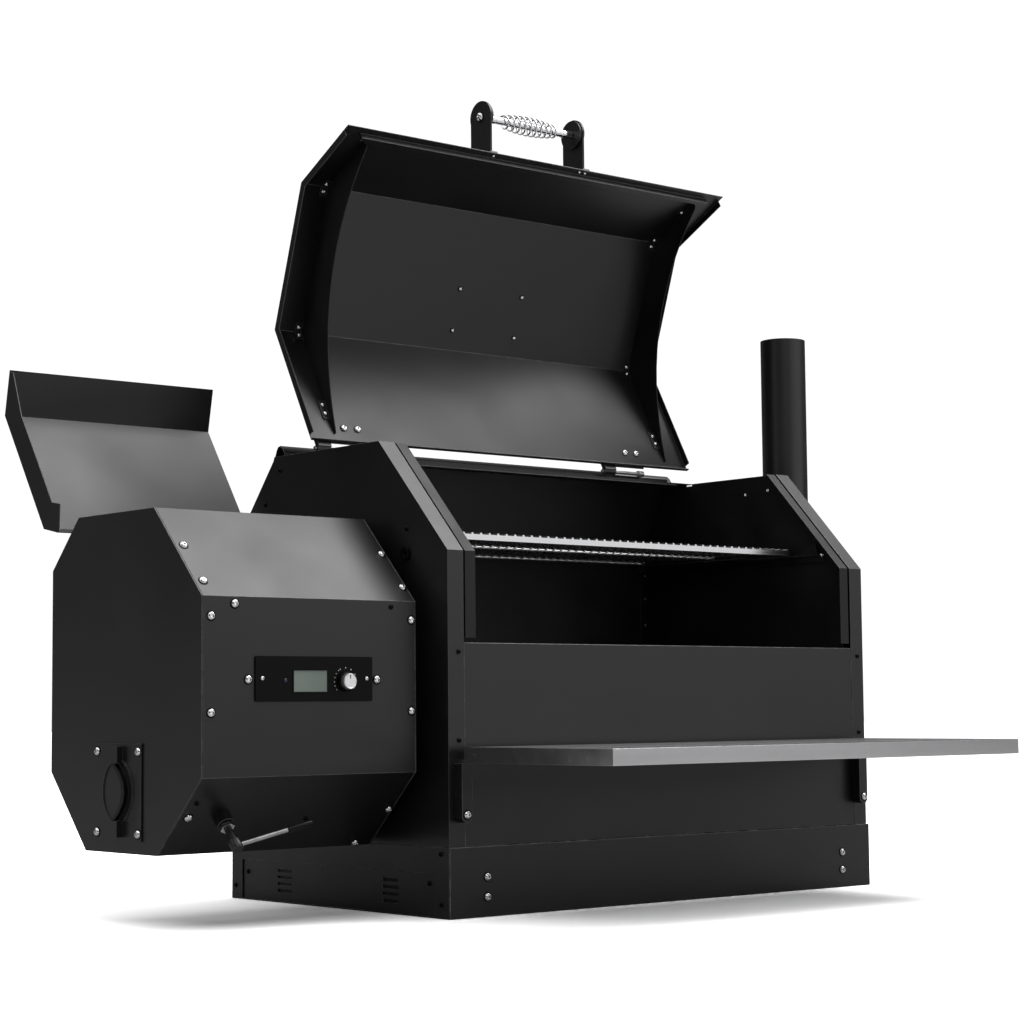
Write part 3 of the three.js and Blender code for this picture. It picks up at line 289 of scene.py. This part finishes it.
def sweep(bm, path, radius, sides=12, taper=None):
    """A round bar along points; taper gives its thickness from 0 to 1 along the way."""
    count = len(path)
    rings = []
    up = None
    for i, spot in enumerate(path):
        ahead = path[min(i + 1, count - 1)] - path[max(i - 1, 0)]
        ahead.normalize()
        if up is None:
            up = ahead.orthogonal().normalized()
        up = (up - ahead * up.dot(ahead)).normalized()
        side = ahead.cross(up)
        reach = radius * (taper(i / (count - 1)) if taper else 1)
        ring = []
        for k in range(sides):
            turn = 2 * math.pi * k / sides
            ring.append(bm.verts.new(spot + (up * math.cos(turn) + side * math.sin(turn)) * reach))
        rings.append(ring)
    loft(bm, rings)


def slab(bm, low, high):
    """A box between two corners."""
    spans = [(low[k], high[k]) for k in range(3)]
    corners = [bm.verts.new(corner) for corner in itertools.product(*spans)]
    for ring in ((0, 1, 3, 2), (4, 6, 7, 5), (0, 4, 5, 1), (2, 3, 7, 6), (0, 2, 6, 4), (1, 5, 7, 3)):
        bm.faces.new([corners[k] for k in ring])


# ---- sheet metal ---------------------------------------------------------------------------
def casing():
    """Coated sheet parts, with a little more rounding on the large folded ones."""
    for node in ("base_left_panel", "base_right_panel", "base_rear_panel", "base_deck", "base_vent_panel",
                 "rear_cover", "rear_hinge_rail", "hopper_end_cover", "hopper_inner_cover",
                 "hopper_hinge_rail", "hopper_lid", "lid_shell", "shelf_bracket_left",
                 "shelf_bracket_right", "grip_plate", "handle_bracket_left", "handle_bracket_right",
                 "lid_hinge_leaf_left", "lid_hinge_leaf_right", "crank_bush"):
        skin(node, COAT)
    for node in ("inner_wall_left", "inner_wall_right", "chamber_back_panel", "chamber_floor", "lid_end_left",
                 "lid_end_right", "upper_grate_rail_left", "upper_grate_rail_right"):
        skin(node, INSIDE, 0.4 * MM)
    for node in ("chimney_pipe", "exhaust_elbow"):
        skin(node, COAT, 0.6 * MM)
    # The bail in the darker coat: painted shade that sets it off from the plate behind.
    skin("grip_bail", DARK, 0.8 * MM, steps=3)
    for node in ("outer_wall_left", "outer_wall_right", "front_panel", "base_front_panel",
                 "hopper_front_shell", "hopper_rear_shell"):
        skin(node, COAT, 1.0 * MM, steps=3)


def works():
    """Feed, fire and cooking parts, the shelf, and small plain parts."""
    for node in ("pellet_bin", "auger_tube", "auger_gearmotor", "auger_screw"):
        skin(node, ZINC, 0.3 * MM)
    for node in ("fire_pot", "heat_diffuser", "main_grate_left", "main_grate_right"):
        skin(node, IRON, 0.5 * MM)
    for node in ("fan_housing", "fan_impeller", "control_panel_plate", "probe_port_grommet"):
        skin(node, PLASTIC, 0.3 * MM)
    skin("drip_pan", STAINLESS, 0.4 * MM)
    skin("front_shelf", SHELF, 0.9 * MM, steps=3)
    skin("lid_badge_plate", CHROME, 0.5 * MM)
    for node in ("lid_hinge_base_left", "lid_hinge_base_right"):
        skin(node, ZINC, 0.3 * MM)


def vent_shade_plates():
    """Plain dark plates behind the vent panel's slots: painted shade seen through them."""
    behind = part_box("base_vent_panel")[1].x
    bm = bmesh.new()
    half = 25
    for middle in (149, 435):
        near = at(0, middle - half, 12)
        far = at(0, middle + half, 60)
        slab(bm, Vector((behind + 0.3 * MM, near.y, near.z)), Vector((behind + 1.1 * MM, far.y, far.z)))
    piece("vent_shade_plates", bm, INSIDE, "casing")


# ---- upper grate -----------------------------------------------------------------------------
def upper_grate():
    low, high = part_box("upper_grate")
    wire = 2.5 * MM
    bm = bmesh.new()
    count = 46
    for i in range(count + 1):
        x = low.x + wire + (high.x - low.x - 2 * wire) * i / count
        level = high.z - wire
        sweep(bm, [Vector((x, low.y + 0.3 * MM, level)), Vector((x, high.y - 0.3 * MM, level))], wire, 10)
    for y in (low.y + wire, (low.y + high.y) / 2, high.y - wire):
        level = high.z - 3 * wire + 0.6 * MM
        sweep(bm, [Vector((low.x, y, level)), Vector((high.x, y, level))], wire, 10)
    slab(bm, Vector((low.x, low.y, low.z)), Vector((high.x, low.y + 2.5 * MM, high.z - 3 * MM)))
    made = piece("upper_grate_wires", bm, STAINLESS, "upper_rack")
    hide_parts("upper_grate")


# ---- lid handle --------------------------------------------------------------------------------
def lid_handle():
    rod_low, rod_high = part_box("handle_rod")
    middle = (rod_low + rod_high) / 2
    half = (rod_high.x - rod_low.x) / 2
    bm = bmesh.new()
    radius = 7.4 * MM
    neck = radius * 0.9
    collar = 22 * MM
    steps = [(neck, -half), (radius, -half + 1 * MM)]
    steps += [(radius, -half + collar), (neck, -half + collar + 1 * MM)]
    steps += [(r, -h) for r, h in reversed(steps)]
    turned(bm, steps, middle, X, 32)
    made = piece("handle_rod_finished", bm, CHROME, "lid")
    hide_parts("handle_rod")

    coil_low, coil_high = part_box("handle_coil")
    centre = (coil_low + coil_high) / 2
    wire = 1.75 * MM
    long = coil_high.x - coil_low.x - 2 * wire
    swell = (coil_high.y - coil_low.y) / 2 - wire - 0.1 * MM
    snug = 9.6 * MM
    bm = bmesh.new()
    turns, per_turn = 10, 40
    path = []
    for i in range(turns * per_turn + 1):
        t = i / (turns * per_turn)
        turn = 2 * math.pi * turns * t
        reach = snug + (swell - snug) * math.sin(math.pi * t) ** 0.8
        spot = Vector((-long / 2 + long * t, reach * math.cos(turn), reach * math.sin(turn)))
        path.append(centre + spot)
    sweep(bm, path, wire, 12)
    made = piece("handle_coil_wire", bm, CHROME, "lid")
    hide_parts("handle_coil")

    bracket = 8.5 * MM
    outer = [(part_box("handle_bracket_left")[0].x, -1), (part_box("handle_bracket_right")[0].x + bracket, 1)]
    ends = [(Vector((x, middle.y, middle.z)), X * way) for x, way in outer]
    screws("handle_bolts", ends, 7.5 * MM, 5 * MM, CHROME, "lid", ring=9.5 * MM)
    inside = [(at(x, -2.4, 409), Y) for x in (346, 545, 558)]
    outside = [(at(x, -7.4, z), -Y) for x in (346, 560) for z in (412, 452)]
    screws("handle_foot_screws", inside + outside, 2.8 * MM, 1.8 * MM, CHROME, "lid", LID)


# ---- screws --------------------------------------------------------------------------------------
def fasteners():
    hopper_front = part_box("hopper_front_shell")[0].y
    front = (hopper_front - CORNER.y) / MM
    top_bevel, low_bevel = Vector((0, -0.719, 0.695)), Vector((0, -0.694, -0.72))
    # Hopper: a row down each end of its front sheet, then single ones.
    places = []
    for x in (-391.5, -35.7):
        places += [(at(x, 117, 550.7), top_bevel), (at(x, 65, 497.3), top_bevel)]
        places += [(at(x, front, 447), -Y), (at(x, front, 310.5), -Y)]
        places += [(at(x, 102.5, 162.5), low_bevel)]
    places += [(at(-352, front, 465), -Y), (at(-60, 156, 111), low_bevel)]
    places += [(at(-329, front, 357.5), -Y), (at(-101, front, 357.5), -Y)]
    # Lifting grip, plinth and shelf brackets.
    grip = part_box("grip_plate")[0]
    plate = (grip.x - CORNER.x) / MM + 10
    places += [(at(plate, y, z), -X) for y in (209, 325) for z in (136, 255)]
    places += [(at(x, -1.5, z), -Y) for x in (72, 868) for z in (30, 60)]
    places += [(at(x, -19, 155), -Y) for x in (20, 908)]
    screws("casing_screws", places, 6.2 * MM, 3.6 * MM, CHROME, "casing", ring=7.6 * MM)

    dark = [(at(x, 0, z), -Y) for x in (20, 920) for z in (399, 266)]
    on_left_side = ((20, 96), (19, 21), (575, 22), (444, 710), (487, 656), (100, 591))
    dark += [(at(0, y, z), -X) for y, z in on_left_side]
    dark += [(at(2.4, y, z), -X) for y, z in ((51, 51), (541, 46))]
    dark += [(at(-74, front, 466), -Y), (at(-391, 81, 183), low_bevel), (at(-182, 112, 153.3), low_bevel)]
    screws("small_black_screws", dark, 3.8 * MM, 2.2 * MM, PLASTIC, "casing")

    bright = [(at(898.5, 244, 701), -X), (at(898.5, 187, 705), -X)]
    screws("chamber_screws", bright, 3.2 * MM, 2 * MM, CHROME, "casing")
    bm = bmesh.new()
    nut = [(9, 0), (9.6, 0.6), (9.6, 5), (9, 5.6)]
    for hinge in HINGES:
        for x in (hinge + 52, hinge + 80):
            turned(bm, [(hexagon(w * MM), h * MM) for w, h in nut], at(x, 436, 739.2), -Z, 24)
    piece("rail_nuts", bm, CHROME, "casing")


def lid_fasteners():
    slope_in = Vector((0, 0.725, -0.689))
    inner = [(at(x, 367, 736.4), -Z) for x in (107.6, 136.2, 753, 781)]
    screws("lid_hinge_bolts", inner, 6.5 * MM, 3.6 * MM, CHROME, "lid", LID)
    through = slope_in * (1.7 * MM)
    badge = [(at(x, y, z) + through, slope_in) for x in (408, 553) for y, z in ((92.6, 656), (144.9, 711))]
    screws("lid_badge_screws", badge, 3.6 * MM, 2.4 * MM, CHROME, "lid", LID, ring=4.6 * MM)
    folds = []
    for x in (77, 842):
        folds += [(at(x, 179.5, 734.4), -Z), (at(x, 166.6, 729.1), slope_in)]
        folds += [(at(x, 4.7, 558.7), slope_in), (at(x, -0.5, 545.5), Y)]
        folds += [(at(x, 324, 734.4), -Z), (at(x, 341, 734.4), -Z)]
    folds.append((at(844, -2.4, 462), Y))
    screws("lid_end_screws", folds, 4 * MM, 2.6 * MM, CHROME, "lid", LID)


# ---- control panel --------------------------------------------------------------------------------
def control_panel():
    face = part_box("control_panel_plate")[0].y
    knob_low, knob_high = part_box("control_knob")
    centre = Vector(((knob_low.x + knob_high.x) / 2, face, (knob_low.z + knob_high.z) / 2))
    bm = bmesh.new()
    skirt = [(14.3, 0.4), (14.5, 1), (14.3, 4), (13, 6), (12.4, 6.4)]
    turned(bm, [(r * MM, h * MM) for r, h in skirt], centre, -Y, 48)
    made = piece("knob_skirt", bm, PLASTIC, "knob")
    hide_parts("control_knob")
    bm = bmesh.new()

    def knurled(base):
        return lambda turn: base * MM * (1 + 0.018 * math.cos(36 * turn))
    grip = [(knurled(11.9), 6 * MM), (knurled(11.7), 12 * MM), (11.2 * MM, 13 * MM), (10.4 * MM, 13.4 * MM)]
    turned(bm, [*grip, (9.8 * MM, 13 * MM)], centre, -Y, 144)
    piece("knob_grip", bm, SATIN, "knob")
    bm = bmesh.new()
    slab(bm, centre + Vector((-0.5, -13.45, 4)) * MM, centre + Vector((0.5, -12.6, 9.4)) * MM)
    piece("knob_pointer", bm, PLASTIC, "knob")

    # Plain dots for the settings round the knob: a close row on its left and a wide one on its right.
    bm = bmesh.new()
    ring = 20
    small = [(0.7, 128 + k * 18) for k in range(6)]
    large = [(0.9, 118 - k * 29) for k in range(5)]
    for radius, angle in small + large:
        turn = math.radians(angle)
        spot = centre + Vector((math.cos(turn) * ring, -0.05, math.sin(turn) * ring)) * MM
        turned(bm, [(radius * MM, 0), (radius * MM, 0.15 * MM)], spot, -Y, 10)
    piece("panel_marks", bm, INK, "casing")

    # Display: its window, in a raised bezel of four strips.
    low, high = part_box("display_window")
    skin("display_window", GLASS, 0.3 * MM)
    bm = bmesh.new()
    rim = 1.6 * MM
    strips = [((low.x - rim, low.z - rim), (high.x + rim, low.z))]
    strips += [((low.x - rim, high.z), (high.x + rim, high.z + rim))]
    strips += [((low.x - rim, low.z), (low.x, high.z)), ((high.x, low.z), (high.x + rim, high.z))]
    for a, b in strips:
        slab(bm, Vector((a[0], face - 0.8 * MM, a[1])), Vector((b[0], face, b[1])))
    piece("display_bezel", bm, PLASTIC, "casing")

    lamp = at(-266.7, 0, 355.8)
    lamp.y = face
    bm = bmesh.new()
    turned(bm, [(3 * MM, 0), (3 * MM, 1 * MM), (2.2 * MM, 1.9 * MM), (1 * MM, 2.3 * MM)], lamp, -Y, 20)
    piece("panel_lamp", bm, LAMP, "casing")
    corners = [at(x, 0, 359) for x in (-306.7, -121.5)]
    for corner in corners:
        corner.y = face
    screws("panel_screws", [(corner, -Y) for corner in corners], 3.2 * MM, 1.8 * MM, CHROME, "casing")


# ---- crank -------------------------------------------------------------------------------------------
def crank():
    crank_joint = JOINTS["crank_turn"]
    out = Vector(crank_joint["axis"]).normalized()
    foot = Vector(crank_joint["pos_m"])
    lean = 0.36
    arm = Matrix.Rotation(lean, 3, out) @ X
    bm = bmesh.new()
    turned(bm, [(5.9 * MM, -22 * MM), (5.9 * MM, 46 * MM)], foot, out, 32)
    turned(bm, [(23.8 * MM, -14 * MM), (23.8 * MM, -8.6 * MM)], foot, out, 40)
    hub = [(8.2, 47), (8.9, 48), (8.9, 61), (8.2, 62.4), (5, 62.9)]
    turned(bm, [(r * MM, h * MM) for r, h in hub], foot, out, 32)
    made = piece("crank_shaft", bm, COAT, "crank", edge=0.3 * MM)
    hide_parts("crank_handle")
    bm = bmesh.new()
    collar = [(18.6, 18), (19, 18.8), (19, 23.4), (18.2, 24)]
    turned(bm, [(hexagon(w * MM), h * MM) for w, h in collar], foot, out, 36)
    piece("crank_collar", bm, CHROME, "crank")
    start = foot + out * (55 * MM)
    bm = bmesh.new()
    sweep(bm, [start + arm * (d * MM) for d in (6, 30, 60, 84)], 3.4 * MM, 20)
    piece("crank_arm", bm, ZINC, "crank")
    bm = bmesh.new()
    sweep(bm, [start + arm * (d * MM) for d in (79, 80.5, 100, 116, 117.6)], 4.4 * MM, 20,
          lambda t: 1 if 0 < t < 0.9 else 0.8)
    piece("crank_grip", bm, DARK, "crank", edge=0.3 * MM)


# ---- small chamber fittings --------------------------------------------------------------------------
def chamber_fittings():
    """A small stop and a bolt on each of the upper grate's rails."""
    for node, way in (("upper_grate_rail_left", 1), ("upper_grate_rail_right", -1)):
        low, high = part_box(node)
        wall = low.x if way > 0 else high.x
        bm = bmesh.new()
        points = [(62, 0), (100, 0), (88, 15), (66, 20)]
        side = [at(0, y, 0).y for y, _ in points]
        lifts = [high.z + 0.4 * MM + lift * MM for _, lift in points]
        for x in (wall + way * 8 * MM, wall + way * 9.4 * MM):
            for y, z in zip(side, lifts):
                bm.verts.new((x, y, z))
        bm.verts.ensure_lookup_table()
        count = len(points)
        bm.faces.new([bm.verts[k] for k in range(count)])
        bm.faces.new([bm.verts[count + k] for k in reversed(range(count))])
        for k in range(count):
            n = (k + 1) % count
            bm.faces.new([bm.verts[k], bm.verts[count + k], bm.verts[count + n], bm.verts[n]])
        piece(node + "_stop", bm, INSIDE, "casing", edge=0.3 * MM)
        bolt = Vector((wall + way * 6 * MM, low.y, high.z - 1.4 * MM))
        screws(node + "_bolt", [(bolt, -Y)], 3.4 * MM, 2.6 * MM, CHROME, "casing")


def corner_rivets():
    """Folded angle up the right back corner, with its rivets."""
    bm = bmesh.new()
    slab(bm, at(880, 510.6, 398), at(898.2, 512.6, 575))
    piece("corner_angle", bm, INSIDE, "casing", edge=0.5 * MM)
    bm = bmesh.new()
    for z in (420, 470, 520, 565):
        turned(bm, [(2.4 * MM, 0), (2.2 * MM, 0.7 * MM), (1.2 * MM, 1.2 * MM)], at(893, 510.6, z), -Y, 16)
    piece("corner_rivets", bm, ZINC, "casing")


# ---- studio ---------------------------------------------------------------------------------------------
def area(name, place, target, size, power):
    """A rectangular lamp turned to a target."""
    lamp = bpy.data.lights.new(name, "AREA")
    lamp.shape = "RECTANGLE"
    lamp.size, lamp.size_y = size
    lamp.energy = power
    made = bpy.data.objects.new(name, lamp)
    made.location = place
    made.rotation_euler = (Vector(target) - Vector(place)).to_track_quat("-Z", "Y").to_euler()
    bpy.context.scene.collection.objects.link(made)


def studio():
    """White floor and world, one wide light overhead and four light boxes."""
    bm = bmesh.new()
    reach = 30
    corners = [bm.verts.new((x * reach, y * reach, 0)) for x, y in ((-1, -1), (1, -1), (1, 1), (-1, 1))]
    bm.faces.new(corners)
    mesh = bpy.data.meshes.new("floor")
    bm.to_mesh(mesh)
    bm.free()
    floor = bpy.data.objects.new("floor", mesh)
    floor.location.z = -0.3 * MM
    material, nodes, links, _ = shader_tree("floor")
    # Overexposed to the camera, so that only a contact shadow shows; a mid grey to the object.
    to_object, to_camera = 0.45, 2.1
    matt = nodes.new("ShaderNodeBsdfDiffuse")
    path = nodes.new("ShaderNodeLightPath")
    tone = remap(nodes, links, path.outputs["Is Camera Ray"], to_object, to_camera, 0, 1)
    links.new(tone, matt.inputs["Color"])
    links.new(matt.outputs["BSDF"], nodes["Material Output"].inputs["Surface"])
    mesh.materials.append(material)
    bpy.context.scene.collection.objects.link(floor)

    sky = bpy.data.lights.new("overhead", "SUN")
    sky.energy = 2.2
    sky.angle = math.radians(95)
    made = bpy.data.objects.new("overhead", sky)
    made.rotation_euler = (math.radians(-8), math.radians(-4), 0)
    bpy.context.scene.collection.objects.link(made)
    area("front_box", (2.1, -3.8, 1.5), (0, 0, 0.6), (5.2, 2.0), 36)
    area("high_box", (1.7, -0.7, 3.6), (0, 0.1, 0.8), (2.2, 2.4), 95)
    area("left_box", (-4.2, 0.6, 1.6), (-0.4, 0, 0.4), (1.4, 2.2), 10)
    area("near_box", (-1.9, -3.6, 3.2), (0, 0, 0.8), (1.6, 1.2), 22)

    world = bpy.data.worlds.new("studio")
    bpy.context.scene.world = world
    world.use_nodes = True
    nodes, links = world.node_tree.nodes, world.node_tree.links
    seen = nodes.new("ShaderNodeBackground")
    seen.inputs["Color"].default_value = (1, 1, 1, 1)
    seen.inputs["Strength"].default_value = 1.05
    fill = nodes["Background"]
    fill.inputs["Color"].default_value = (1, 1, 1, 1)
    fill.inputs["Strength"].default_value = 0.10
    path = nodes.new("ShaderNodeLightPath")
    mix = nodes.new("ShaderNodeMixShader")
    links.new(path.outputs["Is Camera Ray"], mix.inputs["Fac"])
    links.new(fill.outputs["Background"], mix.inputs[1])
    links.new(seen.outputs["Background"], mix.inputs[2])
    links.new(mix.outputs["Shader"], nodes["World Output"].inputs["Surface"])
    bpy.context.scene.view_settings.view_transform = "Standard"


def camera():
    """Set by the photograph's perspective: 3.5 m from the near corner, low, and looking slightly up."""
    eye = bpy.data.cameras.new("camera")
    eye.sensor_width = 36
    eye.lens = 80.72
    made = bpy.data.objects.new("camera", eye)
    place = at(-2163, -2713.9, 312.9)
    yaw, pitch, roll = (math.radians(turn) for turn in (40.2233, 4.8213, -0.5195))
    ahead = Vector((math.sin(yaw) * math.cos(pitch), math.cos(yaw) * math.cos(pitch), math.sin(pitch)))
    right = Vector((math.cos(yaw), -math.sin(yaw), 0))
    up = right.cross(ahead)
    side = right * math.cos(roll) + up * math.sin(roll)
    top = up * math.cos(roll) - right * math.sin(roll)
    basis = Matrix((side, top, -ahead)).transposed().to_4x4()
    made.matrix_world = Matrix.Translation(place) @ basis
    bpy.context.scene.collection.objects.link(made)
    bpy.context.scene.camera = made


camera()
studio()
casing()
works()
upper_grate()
lid_handle()
fasteners()
lid_fasteners()
control_panel()
crank()
chamber_fittings()
corner_rivets()
vent_shade_plates()
